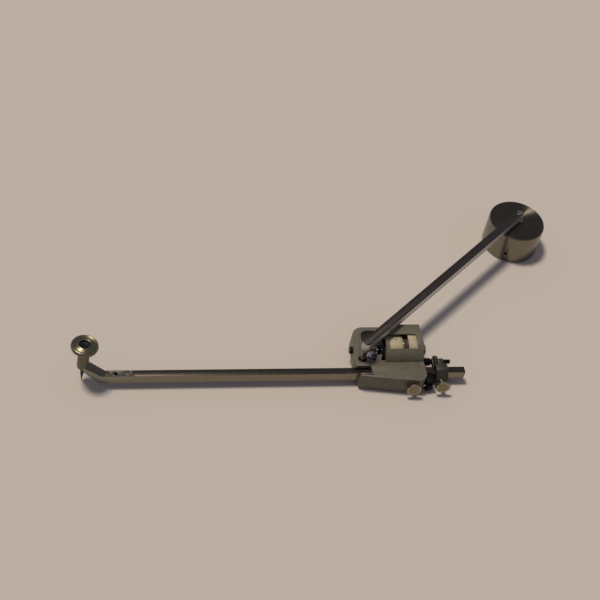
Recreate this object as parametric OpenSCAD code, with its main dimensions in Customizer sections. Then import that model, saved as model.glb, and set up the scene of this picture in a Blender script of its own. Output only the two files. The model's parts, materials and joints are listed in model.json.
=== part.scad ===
// Polar planimeter: a heavy pole, a pole arm, and a tracer bar that slides
// through a carriage with a measuring wheel. Millimetres, +Z up.
// The origin is the centre of the pole weight's foot, and +X runs along the
// tracer bar, from the tracing point towards the carriage.

/* [Arms] */
// Distance from the pole axis to the ball pin
pole_length = 156.9; // [130:0.1:170]
// Angle between the pole arm and the tracer bar, as drawn
pole_angle = 41.5; // [35:0.1:75]
// Distance from the tracing point to the ball pin, along the bar
tracer_length = 155.5; // [140:0.5:165]
// How far the tracing point lies in front of the ball pin
tracer_offset = 2.5; // [1.5:0.1:3.5]

/* [Pole weight] */
// Diameter of the weight
weight_d = 34.6; // [30:0.1:40]
// Chamfer round the weight's edges
weight_edge = 0.6; // [0.3:0.1:1.2]
// Height of the set screw above the foot
set_screw_z = 6; // [5:0.5:7.5]
// Direction of the set screw round the weight
set_screw_turn = -117; // [-150:1:-60]
// Diameter of the set screw
set_screw_d = 2; // [1.6:0.1:2.4]

/* [Pole arm] */
// Width of the pole arm
arm_w = 5.1; // [4.4:0.1:5.2]
// Height of the pole arm's section
arm_h = 4.8; // [4.4:0.1:5.6]
// Height of the arm's underside above the hood's top
arm_clear = 1.2; // [0.8:0.1:2]
// Height of the spacer between the weight and the arm
spacer_h = 1.7; // [1.5:0.1:3]
// Diameter of the spacer
spacer_d = 6.4; // [5.6:0.1:8]
// Diameter of the pivot pin
pivot_d = 2.4; // [2:0.1:2.8]
// Height of the pivot pin's lower end above the foot
pivot_foot = 4; // [3:0.1:4.4]
// Diameter of the pivot pin's flush head
pivot_head_d = 3.6; // [3.2:0.1:3.8]
// Width of the arm's rounded end round the ball pin
arm_end_w = 5.3; // [5.2:0.1:5.8]

/* [Ball pin] */
// Diameter of the pin where it leaves the arm
pin_top_d = 3.9; // [3.6:0.1:4.2]
// Diameter of the pin just above its ball
pin_low_d = 3.2; // [2.6:0.1:3.4]
// Diameter of the pin's ball
ball_d = 2.4; // [2:0.1:2.6]
// Outer diameter of the ball's socket
socket_d = 4.6; // [4.2:0.1:5]

/* [Carriage frame] */
// Height of the frame's top face above the paper
frame_top = 12; // [11.8:0.1:12.4]
// Thickness of the ring round the wheel
ring_h = 5; // [4.6:0.1:5.6]
// Height of the ring's deeper left end above the paper
ring_foot = 2.6; // [2.2:0.1:4]
// Width of the ring's left side
ring_left = 6.2; // [5.6:0.1:7]
// Distance from the ball socket to the ring's back
ring_back = 23.7; // [23.4:0.1:26]
// Width of the ring's back side
ring_back_w = 2.6; // [2.2:0.1:3]
// Distance from the ball socket to the frame's right face
frame_right = 35.4; // [35.2:0.1:35.7]
// Radius of the ring's rounded back corner
ring_corner = 6.5; // [4:0.1:8]
// Clearance between the sleeve and the paper
sleeve_gap = 2; // [1.6:0.1:2.4]
// How far the sleeve's front slants outwards to the right
sleeve_slant = 4.1; // [2.5:0.1:4.4]
// Radius of the sleeve's rounded right corner
sleeve_corner = 5.4; // [4:0.1:6]

/* [Hood] */
// Radius of the hood's rounded front, about the wheel's axis
hood_r = 11.5; // [11.3:0.1:11.8]
// Height of the hood's flat top above the paper
hood_top = 20.5; // [20.3:0.1:20.8]
// Thickness of the hood's shell
hood_wall = 1; // [0.8:0.1:1.1]
// Width of the hood, along the wheel's axis
hood_w = 22; // [21.8:0.1:22.2]
// Width of the hood's window
window_w = 16.3; // [15:0.1:16.8]
// Depth of the hood's window, front to back
window_depth = 9.1; // [8:0.1:9.6]

/* [Measuring wheel] */
// Diameter of the measuring wheel
wheel_d = 18.8; // [18.6:0.1:19]
// Width of the measuring wheel
wheel_w = 1.5; // [1.1:0.1:1.6]
// Distance from the ball socket to the wheel's axis
wheel_y = 8.75; // [8.6:0.05:8.9]
// Diameter of the graduated drum
drum_d = 17.6; // [17:0.1:17.8]
// Width of the graduated drum
drum_w = 8.1; // [7.6:0.1:8.2]
// Width of the polished collar beside the drum
collar_w = 3; // [2.4:0.1:3.1]
// Diameter of the wheel's shaft
shaft_d = 2; // [1.8:0.1:2.2]
// Diameter of the worm on the shaft
worm_d = 3; // [2.6:0.1:3]
// Diameter of the shaft's end pivots
pivot_end_d = 1; // [0.8:0.1:1.1]

/* [Counting dial] */
// Diameter of the counting gear and its dial
dial_d = 5.4; // [4.8:0.1:5.8]
// Thickness of the dial
dial_h = 1; // [0.7:0.1:1.2]
// Number of teeth on the counting gear
gear_teeth = 10; // [8:1:12]

/* [Support roller] */
// Diameter of the support roller
roller_d = 6.8; // [6.2:0.1:7]
// Width of the support roller
roller_w = 2.4; // [1.8:0.1:2.5]

/* [Tracer bar] */
// Width of the tracer bar
bar_w = 4.3; // [4:0.1:4.4]
// Height of the tracer bar's section
bar_h = 5.7; // [5.4:0.1:5.8]
// Height of the tracer bar's underside above the paper
bar_z = 3.9; // [3.8:0.1:4]
// How far the bar runs past the ball pin
bar_tail = 59.4; // [56:0.2:70]
// Distance from the ball pin's line to the bar's centre line
bar_setback = 6.4; // [6.3:0.05:6.5]

/* [Tracer end] */
// Length of the end bracket's shank on the bar
shank_l = 17.8; // [16:0.1:20]
// Distance from the tracing point to the shank
shank_x = 9.4; // [8.6:0.1:11]
// Diameter of the post over the tracing point
post_d = 6.3; // [6:0.1:7]
// Height of the post's underside above the paper
post_z = 11.5; // [10.5:0.1:12.5]
// Height of the grip ring's top above the paper
grip_top = 29.4; // [27:0.1:31]
// Diameter of the grip ring
grip_d = 14.8; // [13:0.1:16]
// Thickness of the grip ring
grip_h = 4; // [3.4:0.1:4.6]
// Diameter of the grip ring's bore
grip_bore = 5.9; // [5.7:0.1:6.2]
// Diameter of the tracing pin
tracing_d = 2; // [1.6:0.1:2.2]
// Travel of the tracing pin when its button is pressed
pin_travel = 1.2; // [0.8:0.1:1.5]

/* [Fine adjustment] */
// Width of the clamp block, along the bar
block_w = 6.8; // [6.6:0.1:7.4]
// Distance from the ball pin to the clamp block
block_x = 42; // [41.8:0.1:43]
// Diameter of the knurled adjusting nut
nut_d = 6.8; // [6:0.1:7]
// Width of the adjusting nut
nut_w = 1.8; // [1.6:0.1:2]
// Diameter of the adjusting screw
screw_d = 2.5; // [2.2:0.1:2.7]
// Diameter of the adjusting screw's plain collar
screw_collar_d = 4.3; // [3.8:0.1:4.4]

/* [Clamp screws] */
// Diameter of the thumb screws' discs
thumb_d = 8.4; // [7.6:0.1:8.6]
// Thickness of the thumb screws' discs
thumb_h = 1.4; // [1.1:0.1:1.5]
// Diameter of the thumb screws' stems
stem_d = 2.4; // [2:0.1:2.6]
// Distance from the ball pin to the carriage's thumb screw
thumb_x = 27.4; // [22:0.1:28]

/* [Fits] */
// Radial clearance of a turning or sliding fit
run_gap = 0.05; // [0.03:0.01:0.07]
// Clearance round a piece that is screwed or pushed home
seat_gap = 0.02; // [0.01:0.01:0.04]
// Clearance between the bar and the carriage's tunnel
bar_gap = 0.1; // [0.07:0.01:0.12]

/* [Hidden] */
$fn = 64;

// Lengths that make cuts clean and joins solid
far = 60;
over = 1;
join = 0.1;

// Heights
arm_z = hood_top + arm_clear;
weight_h = arm_z - spacer_h;
arm_top = arm_z + arm_h;
wheel_z = wheel_d / 2;
ring_z = frame_top - ring_h;
bar_top = bar_z + bar_h;
bar_mid = bar_z + bar_h / 2;
ball_depth = 0.6;
ball_z = frame_top - ball_depth;
pin_top = grip_top - grip_h - 1.2;

// Places of the wheel, the drum and the hood, from the ball pin's axis
hood_inset = 0.3;
hood_gap = 0.4;
drum_inset = 2.5;
vernier_gap = 0.15;
hood_x = frame_right - hood_inset - hood_w;
hood_back_top = 18.2;
hood_back_foot = 20.8;
hood_end = 2;
hood_inner_r = hood_r - hood_wall;
hood_inner_top = hood_top - hood_wall;
wheel_x = hood_x - hood_gap - wheel_w;
drum_x = hood_x + drum_inset;
collar_x = drum_x + drum_w;
vernier_x = collar_x + collar_w + vernier_gap;

// Places of the carriage's other pieces, from the ball pin's axis
bar_y = -bar_setback;
bar_back = bar_y + bar_w / 2;
bar_front = bar_y - bar_w / 2;
wheel_room = 9;
wheel_gap = 0.35;
ring_left_in = wheel_x - wheel_room;
ring_left_out = ring_left_in - ring_left;
ring_back_in = ring_back - ring_back_w;
ring_front_in = wheel_y - wheel_d / 2 - wheel_gap;
ring_toe = 0.6;
room_left = wheel_x - 2;
skirt_gap = 0.4;
skirt_front = 3.2;
skirt_right = room_left - skirt_gap;
skirt_wall = 2;
right_bar = 2.4;
shaft_left = ring_left_in + join;
shaft_right = frame_right - right_bar;
sleeve_left = -2.6;
sleeve_front = -11.9;
sleeve_end = -1;
pocket_front = bar_front - 2;
notch_right = 4.2;
notch_front = bar_front - 1.4;
notch_lip = 0.5;
mesh_gap = 0.1;
worm_x = wheel_x - 6.8;
dial_x = wheel_x - 4.1;
dial_y = wheel_y - worm_d / 2 - dial_d / 2 - mesh_gap;
roller_gap = 0.7;
roller_clear = 0.45;
roller_x = frame_right + roller_gap;
roller_y = bar_front - roller_d / 2 - roller_clear;
roller_z = roller_d / 2;
screw_y = 1.9;
screw_z = 6.7;

thumb_face = -19.1;
fine_face = -17.5;

// Sizes of threads, pivots and small screws
pivot_head_h = 1;
socket_h = 3;
round_nut_d = 3.6;
round_nut_h = 0.7;
shoe_l = 8;
fine_shoe_l = 4.8;
bearing_d = 2.2;
boss_l = 1.6;
boss_d = 6;
left_boss_d = 5;
pivot_end_l = 1;
lock_nut_d = 4.2;
lock_nut_h = 1.5;
bridge_w = 2.4;
bridge_h = 0.7;
lug_d = 6;
lug_l = 4;
small_screw_d = 1.2;
spindle_d = 1.2;
spindle_h = 3.9;
axle_d = 1.6;
axle_depth = 2.5;
collar_depth = 3.4;
hood_bite = 1;
bracket_screw_d = 3.2;
block_front = 4;
bracket_screw_h = 0.75;
empty_hole_d = 2.2;
empty_hole_x = 8.2;
spring_room_d = 3.8;
spring_seat = 4;
tongue_gap = 2.8;
spigot_h = 1.1;
knurl_count = 36;

// Places the children at the ball pin, in the carriage's own axes
module at_carriage() {
    place = [-pole_length * cos(pole_angle), -pole_length * sin(pole_angle), 0];
    translate(place) children();
}

// Turns the children to the pole arm, with +X from the pole to the ball pin
module along_pole_arm() {
    rotate([0, 0, 180 + pole_angle]) children();
}

// Places the children at the tracing point
module at_tracer() {
    at_carriage() translate([-tracer_length, -tracer_offset, 0]) children();
}

// A round bar along +X from x, centred on y and z
module rod_x(d, x, l, y = 0, z = 0) {
    translate([x, y, z]) rotate([0, 90, 0]) cylinder(d = d, h = l);
}

// A round bar along -Y from y, centred on x and z
module rod_y(d, y, l, x = 0, z = 0) {
    translate([x, y, z]) rotate([90, 0, 0]) cylinder(d = d, h = l);
}

// A box from its low corner and its high corner
module block_between(low, high) {
    translate(low) cube(high - low);
}

// A flat profile in Y and Z, drawn along +X from x
module profile_x(x, l) {
    translate([x, 0, 0]) rotate([90, 0, 90]) linear_extrude(l) children();
}

// ---------------------------------------------------------------- pole

module pole_weight() {
    r = weight_d / 2;
    e = weight_edge;
    color("dimgray") difference() {
        rotate_extrude($fn = 128)
            polygon([[0, 0], [r - e, 0], [r, e], [r, weight_h - e],
                     [r - e, weight_h], [0, weight_h]]);
        translate([0, 0, pivot_foot - seat_gap])
            cylinder(d = pivot_d + 2 * seat_gap, h = weight_h);
        rotate([0, 0, set_screw_turn])
            rod_x(set_screw_d + 2 * seat_gap, 0, r + over, 0, set_screw_z);
    }
}

// The set screw that holds the pivot pin, sunk into the weight's side
module pivot_set_screw() {
    start = pivot_d / 2 + seat_gap;
    sink = 1.5;
    end = weight_d / 2 - sink;
    slot_w = 0.4;
    slot_h = 0.7;
    color("#2b2b2d") rotate([0, 0, set_screw_turn]) difference() {
        rod_x(set_screw_d, start, end - start, 0, set_screw_z);
        block_between([end - slot_h, -set_screw_d, set_screw_z - slot_w / 2],
                      [end + over, set_screw_d, set_screw_z + slot_w / 2]);
    }
}

module pivot_spacer() {
    color("silver") difference() {
        translate([0, 0, weight_h]) cylinder(d = spacer_d, h = spacer_h - run_gap);
        translate([0, 0, weight_h - over])
            cylinder(d = pivot_d + 2 * seat_gap, h = spacer_h + 2 * over);
    }
}

module pivot_pin() {
    slot_w = 0.5;
    slot_h = 0.4;
    color("silver") difference() {
        union() {
            translate([0, 0, pivot_foot]) cylinder(d = pivot_d, h = arm_top - pivot_foot - slot_h);
            translate([0, 0, arm_top - pivot_head_h])
                cylinder(d = pivot_head_d, h = pivot_head_h);
        }
        block_between([-pivot_head_d, -slot_w / 2, arm_top - slot_h],
                      [pivot_head_d, slot_w / 2, arm_top + over]);
    }
}

module pole_arm() {
    head = pivot_head_h + run_gap;
    color("#4a4443") along_pole_arm() difference() {
        union() {
            translate([0, 0, arm_z]) cylinder(d = arm_w, h = arm_h);
            block_between([0, -arm_w / 2, arm_z], [pole_length, arm_w / 2, arm_top]);
            translate([pole_length, 0, arm_z]) cylinder(d = arm_end_w, h = arm_h);
        }
        translate([0, 0, arm_z - over])
            cylinder(d = pivot_d + 2 * run_gap, h = arm_h + 2 * over);
        translate([0, 0, arm_top - head])
            cylinder(d = pivot_head_d + 2 * run_gap, h = head + over);
        translate([pole_length, 0, arm_z - over])
            cylinder(d = ball_d + 2 * seat_gap, h = arm_h + 2 * over);
    }
}

module ball_pin() {
    nut_room = 0.5;
    neck_d = 1.7;
    low = ball_z + ball_d / 2;
    color("#b9a777") along_pole_arm() translate([pole_length, 0, 0]) {
        translate([0, 0, ball_z]) sphere(d = ball_d, $fn = 48);
        translate([0, 0, ball_z]) cylinder(d = neck_d, h = low - ball_z + join);
        translate([0, 0, low]) cylinder(d1 = pin_low_d, d2 = pin_top_d, h = arm_z - low);
        translate([0, 0, arm_z - join]) cylinder(d = ball_d, h = arm_h + nut_room + join);
    }
}

module ball_pin_nut() {
    slot_w = 0.5;
    slot_h = 0.35;
    h = round_nut_h;
    r = round_nut_d / 2 + join;
    color("silver") along_pole_arm() translate([pole_length, 0, arm_top]) difference() {
        cylinder(d = round_nut_d, h = h);
        translate([0, 0, -over]) cylinder(d = ball_d + 2 * seat_gap, h = h + 2 * over);
        block_between([-r, -slot_w / 2, h - slot_h], [r, slot_w / 2, h + over]);
    }
}

// ------------------------------------------------------------ carriage

// Outline of the ring, seen from above
module ring_outline() {
    slant = 1.4;
    c = ring_corner;
    left_back = ring_left_out + slant;
    arc = [for (a = [180:-15:90]) [left_back + c + c * cos(a), ring_back - c + c * sin(a)]];
    low = sleeve_end - 2;
    polygon(concat([[ring_left_out - ring_toe, low]], arc,
                   [[frame_right, ring_back], [frame_right, low]]));
}

// Outline of the sleeve that the bar runs through, seen from above
module sleeve_outline() {
    c = sleeve_corner;
    low = sleeve_front - sleeve_slant;
    arc = [for (a = [270:15:360]) [frame_right - c + c * cos(a), low + c + c * sin(a)]];
    left_back = ring_left_out - ring_toe;
    step = 0.4;
    knee = [19, low + 1.1];
    polygon(concat([[left_back, sleeve_end], [left_back + step, bar_back - notch_lip],
                    [sleeve_left - step, bar_front], [sleeve_left, sleeve_front],
                    knee], arc, [[frame_right, sleeve_end]]));
}

// The opening round the wheel and under the hood, seen from above
module ring_opening() {
    corner = 6;
    back_corner = 4.5;
    low = ring_front_in;
    high = ring_back_in;
    left = ring_left_in;
    lap = 0.2;
    drum_gap = 0.5;
    foot_w = 1.6;
    cut_right = hood_x + lap;
    translate([left + corner, low]) square([cut_right - left - corner, high - low]);
    translate([left, low + corner]) square([corner + over, high - low - corner - back_corner]);
    translate([left + back_corner, high - corner]) square([corner, corner]);
    translate([left + corner, low + corner]) circle(r = corner);
    translate([left + back_corner, high - back_corner]) circle(r = back_corner);
    under_front = wheel_y - drum_d / 2 - drum_gap;
    under_back = hood_back_foot - hood_wall - foot_w;
    translate([cut_right - over, under_front])
        square([shaft_right - cut_right + over, under_back - under_front]);
}

module ring_plan() {
    difference() {
        ring_outline();
        ring_opening();
    }
}

// The ring's left end that reaches down towards the paper, seen from above
module skirt_plan() {
    left = ring_left_out - ring_toe;
    low = sleeve_end - over;
    intersection() {
        ring_plan();
        union() {
            translate([left, skirt_front]) square([skirt_right - left, ring_back]);
            translate([left, low]) square([skirt_wall, skirt_front - low + join]);
        }
    }
}

module carriage_frame() {
    bearing_bore = bearing_d + 2 * seat_gap;
    room_gap = 0.5;
    room_right = shaft_right - skirt_gap;
    color("#8f8c76") at_carriage() difference() {
        union() {
            translate([0, 0, ring_z]) linear_extrude(ring_h) ring_plan();
            translate([0, 0, ring_foot]) linear_extrude(ring_z - ring_foot + join) skirt_plan();
            translate([0, 0, sleeve_gap]) linear_extrude(frame_top - sleeve_gap) sleeve_outline();
            // bearing bosses at both ends of the wheel's shaft
            rod_x(left_boss_d, ring_left_out + 2 * join, ring_left - 4 * join, wheel_y, wheel_z);
            rod_x(boss_d, frame_right - right_bar, right_bar + boss_l, wheel_y, wheel_z);
            // bridge under the counting dial
            block_between([dial_x - bridge_w / 2, sleeve_end - join, ring_z],
                          [dial_x + bridge_w / 2, dial_y + over, ring_z + bridge_h]);
            // lug for the adjusting screw
            rod_x(lug_d, frame_right - lug_l, lug_l, screw_y, screw_z);
        }
        // tunnel for the bar, and the clamp shoe's pocket in front of it
        block_between([-far, bar_front - bar_gap, bar_z - bar_gap],
                      [frame_right + over, bar_back + bar_gap, bar_top + bar_gap]);
        block_between([thumb_x - shoe_l / 2 - run_gap, pocket_front, shoe_low() - run_gap],
                      [thumb_x + shoe_l / 2 + run_gap, bar_front, shoe_high() + run_gap]);
        // notch over the bar's scale
        block_between([-far, notch_front, bar_mid], [notch_right, bar_back - notch_lip, far]);
        // socket, bearing, clamp and bracket holes
        translate([0, 0, ring_z - over])
            cylinder(d = socket_d + 2 * seat_gap, h = ring_h + 2 * over);
        rod_x(bearing_bore, ring_left_out - over, ring_left + 2 * over, wheel_y, wheel_z);
        rod_x(bearing_bore, shaft_right - over, right_bar + boss_l + 2 * over, wheel_y, wheel_z);
        rod_y(stem_d + 2 * run_gap, pocket_front + over, far, thumb_x, bar_mid);
        rod_x(axle_d + 2 * seat_gap, frame_right - axle_depth - join, axle_depth + over,
              roller_y, roller_z);
        rod_x(screw_collar_d + 2 * seat_gap, frame_right - collar_depth - join,
              collar_depth + over, screw_y, screw_z);
        translate([dial_x, dial_y, ring_z - over])
            cylinder(d = spindle_d + 2 * seat_gap, h = bridge_h + 2 * over);
        for (x = hood_screw_places())
            translate([x, hood_screw_y(), ring_z - over])
                cylinder(d = small_screw_d + 2 * seat_gap, h = ring_h + 2 * over);
        // room under the frame for the drum, the collar and the wheel
        rod_x(wheel_d + 2 * room_gap, room_left, room_right - room_left, wheel_y, wheel_z);
    }
}

function hood_screw_places() = [hood_x + hood_end / 2, frame_right - hood_end / 2];
function hood_screw_y() = hood_back_foot - 1.3;

module ball_socket() {
    color("#2a2a2c") at_carriage() translate([0, 0, ball_z]) difference() {
        hollow_d = ball_d + 2 * run_gap;
        translate([0, 0, ball_depth - socket_h]) cylinder(d = socket_d, h = socket_h);
        sphere(d = hollow_d, $fn = 48);
        cylinder(d1 = hollow_d, d2 = socket_d - 1, h = ball_depth + join);
    }
}

// The hood's outer shape, a barrel with a flat top and a leaning back
module hood_solid() {
    lean = (hood_back_foot - hood_back_top) / (hood_top - frame_top);
    intersection() {
        union() {
            rod_x(2 * hood_r, hood_x, hood_w, wheel_y, wheel_z);
            profile_x(hood_x, hood_w)
                polygon([[wheel_y, frame_top], [wheel_y, hood_top],
                         [hood_back_top, hood_top], [hood_back_foot, frame_top]]);
        }
        profile_x(hood_x - over, hood_w + 2 * over)
            polygon([[-far, frame_top], [-far, hood_top], [hood_back_top, hood_top],
                     [hood_back_foot, frame_top]]);
    }
}

module drum_hood() {
    hollow_w = hood_w - 2 * hood_end;
    inner_top = hood_inner_top;
    window_x = hood_x + hood_end;
    window_front = 1.9;
    window_low = frame_top + 3;
    foot = hood_back_foot - hood_wall - 0.4;
    boss_room = boss_d + 0.4;
    color("#8f8c76") at_carriage() difference() {
        hood_solid();
        // the hollow over the drum, flat on top like the outside
        intersection() {
            rod_x(2 * hood_inner_r, window_x, hollow_w, wheel_y, wheel_z);
            block_between([0, -far, 0], [far, far, inner_top]);
        }
        profile_x(window_x, hollow_w)
            polygon([[wheel_y, 0], [wheel_y, inner_top], [hood_back_top - hood_wall, inner_top],
                     [foot, frame_top - over], [foot, 0]]);
        // room for the right bearing's boss
        rod_x(boss_room, hood_x + hood_w - hood_end - over, far, wheel_y, wheel_z);
        // the window
        translate([window_x, window_front, window_low]) linear_extrude(far)
            square([window_w, window_depth]);
        for (x = hood_screw_places())
            translate([x, hood_screw_y(), frame_top - over])
                cylinder(d = small_screw_d + 2 * seat_gap, h = over + hood_bite + run_gap);
    }
}

module hood_screws() {
    head = 0.8;
    head_d = 2.2;
    color("silver") at_carriage() for (x = hood_screw_places())
        translate([x, hood_screw_y(), ring_z]) {
            translate([0, 0, -head]) cylinder(d = head_d, h = head);
            cylinder(d = small_screw_d, h = ring_h + hood_bite);
        }
}

module drum_vernier() {
    thick = 0.8;
    r = min(hood_inner_r, hood_inner_top - wheel_z) - seat_gap;
    w = hood_x + hood_w - hood_end - seat_gap - vernier_x;
    start = 120;
    sweep = 106;
    color("ivory") at_carriage() translate([vernier_x, wheel_y, wheel_z])
        rotate([0, 90, 0]) rotate([0, 0, start]) rotate_extrude(angle = sweep, $fn = 128)
            translate([r - thick, 0]) square([thick, w]);
}

module left_bearing_screw() {
    tip = shaft_left - join;
    left = ring_left_out - lock_nut_h - 0.4;
    slot_w = 0.4;
    slot_h = 0.5;
    color("silver") at_carriage() difference() {
        rod_x(bearing_d, left, tip - left, wheel_y, wheel_z);
        rod_x(pivot_end_d + 2 * run_gap, tip - pivot_end_l, pivot_end_l + over, wheel_y, wheel_z);
        block_between([left - over, wheel_y - bearing_d, wheel_z - slot_w / 2],
                      [left + slot_h, wheel_y + bearing_d, wheel_z + slot_w / 2]);
    }
}

module left_lock_nut() {
    left = ring_left_out - lock_nut_h;
    color("#3a3a3c") at_carriage() difference() {
        translate([left, wheel_y, wheel_z]) rotate([0, 90, 0])
            cylinder(d = lock_nut_d, h = lock_nut_h, $fn = 6);
        rod_x(bearing_d + 2 * seat_gap, left - over, lock_nut_h + 2 * over, wheel_y, wheel_z);
    }
}

module right_bearing_screw() {
    tip = shaft_right + join;
    head_d = 6.2;
    head = 1.7;
    slot_w = 0.6;
    slot_h = 0.5;
    seat = frame_right + boss_l;
    color("#77735f") at_carriage() difference() {
        union() {
            rod_x(bearing_d, tip, seat - tip, wheel_y, wheel_z);
            rod_x(head_d, seat, head, wheel_y, wheel_z);
        }
        rod_x(pivot_end_d + 2 * run_gap, tip - over, pivot_end_l + over, wheel_y, wheel_z);
        block_between([seat + head - slot_h, wheel_y - head_d, wheel_z - slot_w / 2],
                      [seat + head + over, wheel_y + head_d, wheel_z + slot_w / 2]);
    }
}

// --------------------------------------------------- wheel and counter

module wheel_shaft() {
    color("silver") at_carriage() {
        rod_x(shaft_d, shaft_left, shaft_right - shaft_left, wheel_y, wheel_z);
        rod_x(pivot_end_d, shaft_left - pivot_end_l + join, pivot_end_l, wheel_y, wheel_z);
        rod_x(pivot_end_d, shaft_right - join, pivot_end_l, wheel_y, wheel_z);
    }
}

module measuring_wheel() {
    r = wheel_d / 2;
    hub = 2.6;
    bore = shaft_d / 2 + seat_gap;
    w = wheel_w;
    color("#1d1c22") at_carriage() translate([wheel_x, wheel_y, wheel_z]) rotate([90, 0, 90])
        rotate_extrude($fn = 128)
            polygon([[bore, -0.6], [hub, -0.6], [hub, 0.2], [r - 1.8, 0.2], [r - 0.9, 0],
                     [r, w * 0.4], [r, w * 0.7], [r - 0.9, w], [bore, w]]);
}

module shaft_worm() {
    rings = 5;
    pitch = 1.1;
    bore = shaft_d / 2 + seat_gap;
    r = worm_d / 2;
    crest = [for (i = [0:rings - 1], p = [[0.25, 0.3], [0.25 + 0.1, 0], [0.75, 0], [0.85, 0.3]])
        [r - p[1], (i + p[0]) * pitch]];
    color("#b89b55") at_carriage() translate([worm_x, wheel_y, wheel_z]) rotate([90, 0, 90])
        rotate_extrude()
            polygon(concat([[bore, 0], [r - 0.3, 0]], crest,
                           [[r - 0.3, rings * pitch], [bore, rings * pitch]]));
}

module graduated_drum() {
    r = drum_d / 2;
    rim = 1.2;
    bore = shaft_d / 2 + seat_gap;
    w = drum_w;
    color("ivory") at_carriage() translate([drum_x, wheel_y, wheel_z]) rotate([90, 0, 90])
        rotate_extrude($fn = 128)
            polygon([[bore, w - 3], [2.4, w - 3], [2.4, w - 1.4], [r - rim, w - 1.4],
                     [r - rim, 0], [r, 0], [r, w], [bore, w]]);
}

module drum_collar() {
    r = drum_d / 2;
    bore = shaft_d / 2 + seat_gap;
    color("silver") at_carriage() translate([collar_x, wheel_y, wheel_z]) rotate([90, 0, 90])
        rotate_extrude($fn = 128)
            polygon([[bore, 0], [r - 0.2, 0], [r, 0.2], [r, collar_w - 0.2],
                     [r - 0.2, collar_w], [bore, collar_w]]);
}

module dial_spindle() {
    head = 0.35;
    color("silver") at_carriage() translate([dial_x, dial_y, ring_z]) {
        cylinder(d = spindle_d, h = spindle_h);
        translate([0, 0, spindle_h - head]) cylinder(d = spindle_d + 0.6, h = 0.4);
    }
}

module counting_gear() {
    r = dial_d / 2;
    depth = 0.5;
    step = 360 / gear_teeth;
    outline = [for (i = [0:gear_teeth - 1], p = [[0, 0], [0.18, 0], [0.38, 1], [0.62, 1], [0.82, 0]])
        let (a = (i + p[0]) * step, d = r - depth * p[1]) [d * cos(a), d * sin(a)]];
    color("#b89b55") at_carriage() translate([dial_x, dial_y, ring_z + 0.8]) difference() {
        linear_extrude(1.5) polygon(outline);
        translate([0, 0, -over]) cylinder(d = spindle_d + 2 * run_gap, h = 4 * over);
    }
}

module counting_dial() {
    color("silver") at_carriage() translate([dial_x, dial_y, ring_z + 2.35]) difference() {
        cylinder(d = dial_d, h = dial_h);
        translate([0, 0, -over]) cylinder(d = spindle_d + 2 * run_gap, h = 4 * over);
    }
}

// ------------------------------------------------------ support roller

module roller_bracket() {
    plate = 1;
    plate_x = roller_x + roller_w + 0.3;
    back = bar_front - 0.4;
    front = roller_y - 2.2;
    top = 9.2;
    color("#1f1f21") at_carriage() difference() {
        union() {
            block_between([frame_right, front, top - 1.6], [plate_x + plate, back, top]);
            block_between([plate_x, front, 1.6], [plate_x + plate, back - 1, top]);
        }
        rod_x(axle_d + 2 * seat_gap, plate_x - over, plate + 2 * over, roller_y, roller_z);
    }
}

module roller_axle() {
    start = frame_right - 2.5;
    end = roller_x + roller_w + 1.3;
    color("silver") at_carriage() {
        rod_x(axle_d, start, end - start, roller_y, roller_z);
        rod_x(axle_d + 0.8, end, 0.6, roller_y, roller_z);
    }
}

module support_roller() {
    r = roller_d / 2;
    bore = axle_d / 2 + run_gap;
    color("#232326") at_carriage() translate([roller_x, roller_y, roller_z]) rotate([90, 0, 90])
        rotate_extrude($fn = 96)
            polygon([[bore, 0], [r - 0.5, 0], [r, 0.5], [r, roller_w - 0.5],
                     [r - 0.5, roller_w], [bore, roller_w]]);
}

// -------------------------------------------------- scale and clamping

module bar_vernier() {
    plate_front = bar_front - 2.9;
    plate_x = sleeve_left + 0.4;
    plate_top = frame_top + 0.5;
    bevel = 0.6;
    color("#c9c9c4") at_carriage() profile_x(plate_x, notch_right - plate_x)
        polygon([[plate_front, frame_top], [plate_front, plate_top],
                 [notch_front - bevel, plate_top], [notch_front, frame_top]]);
}

function shoe_tip() = bar_front - 0.85;
function fine_shoe_tip() = bar_front - 0.55;

// A clamp shoe between the bar and a thumb screw, centred on x
module shoe(x, l, thick, tip) {
    difference() {
        block_between([x - l / 2, bar_front - thick, shoe_low()],
                      [x + l / 2, bar_front - run_gap, shoe_high()]);
        rod_y(stem_d + 2 * run_gap, tip + run_gap, thick + over, x, bar_mid);
    }
}

function shoe_low() = bar_z + 0.6;
function shoe_high() = bar_top - 0.6;

module clamp_shoe() {
    color("#b89b55") at_carriage() shoe(thumb_x, shoe_l, 1.4, shoe_tip());
}

// A thumb screw: its disc, its stem and the boss between them
module thumb_screw(x, stem_end, face) {
    d = thumb_d;
    boss = stem_d * 0.8;
    translate([x, face, bar_mid]) rotate([-90, 0, 0]) rotate_extrude($fn = 96)
        polygon([[0, 0], [d / 2 - 0.4, 0], [d / 2, 0.3], [d / 2, thumb_h - 0.3],
                 [d / 2 - 0.4, thumb_h], [boss, thumb_h], [boss, thumb_h + 0.5],
                 [stem_d / 2, thumb_h + 0.5], [stem_d / 2, stem_end - face], [0, stem_end - face]]);
}

module clamp_thumb_screw() {
    color("#cbbf9c") at_carriage() thumb_screw(thumb_x, shoe_tip(), thumb_face);
}

// --------------------------------------------------------- tracer bar

module tracer_bar() {
    left = shank_x + shank_l - tracer_length;
    tongue = shank_x + tongue_gap - tracer_length;
    lap_z = lap_height();
    color("#57504a") at_carriage() difference() {
        union() {
            block_between([left, bar_front, bar_z], [bar_tail, bar_back, bar_top]);
            block_between([tongue, bar_front, bar_z], [left + join, bar_back, lap_z]);
        }
        for (x = bracket_screw_places())
            translate([x - tracer_length, bar_y, bar_z - over])
                cylinder(d = small_screw_d + 2 * seat_gap, h = bar_h);
    }
}

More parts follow.
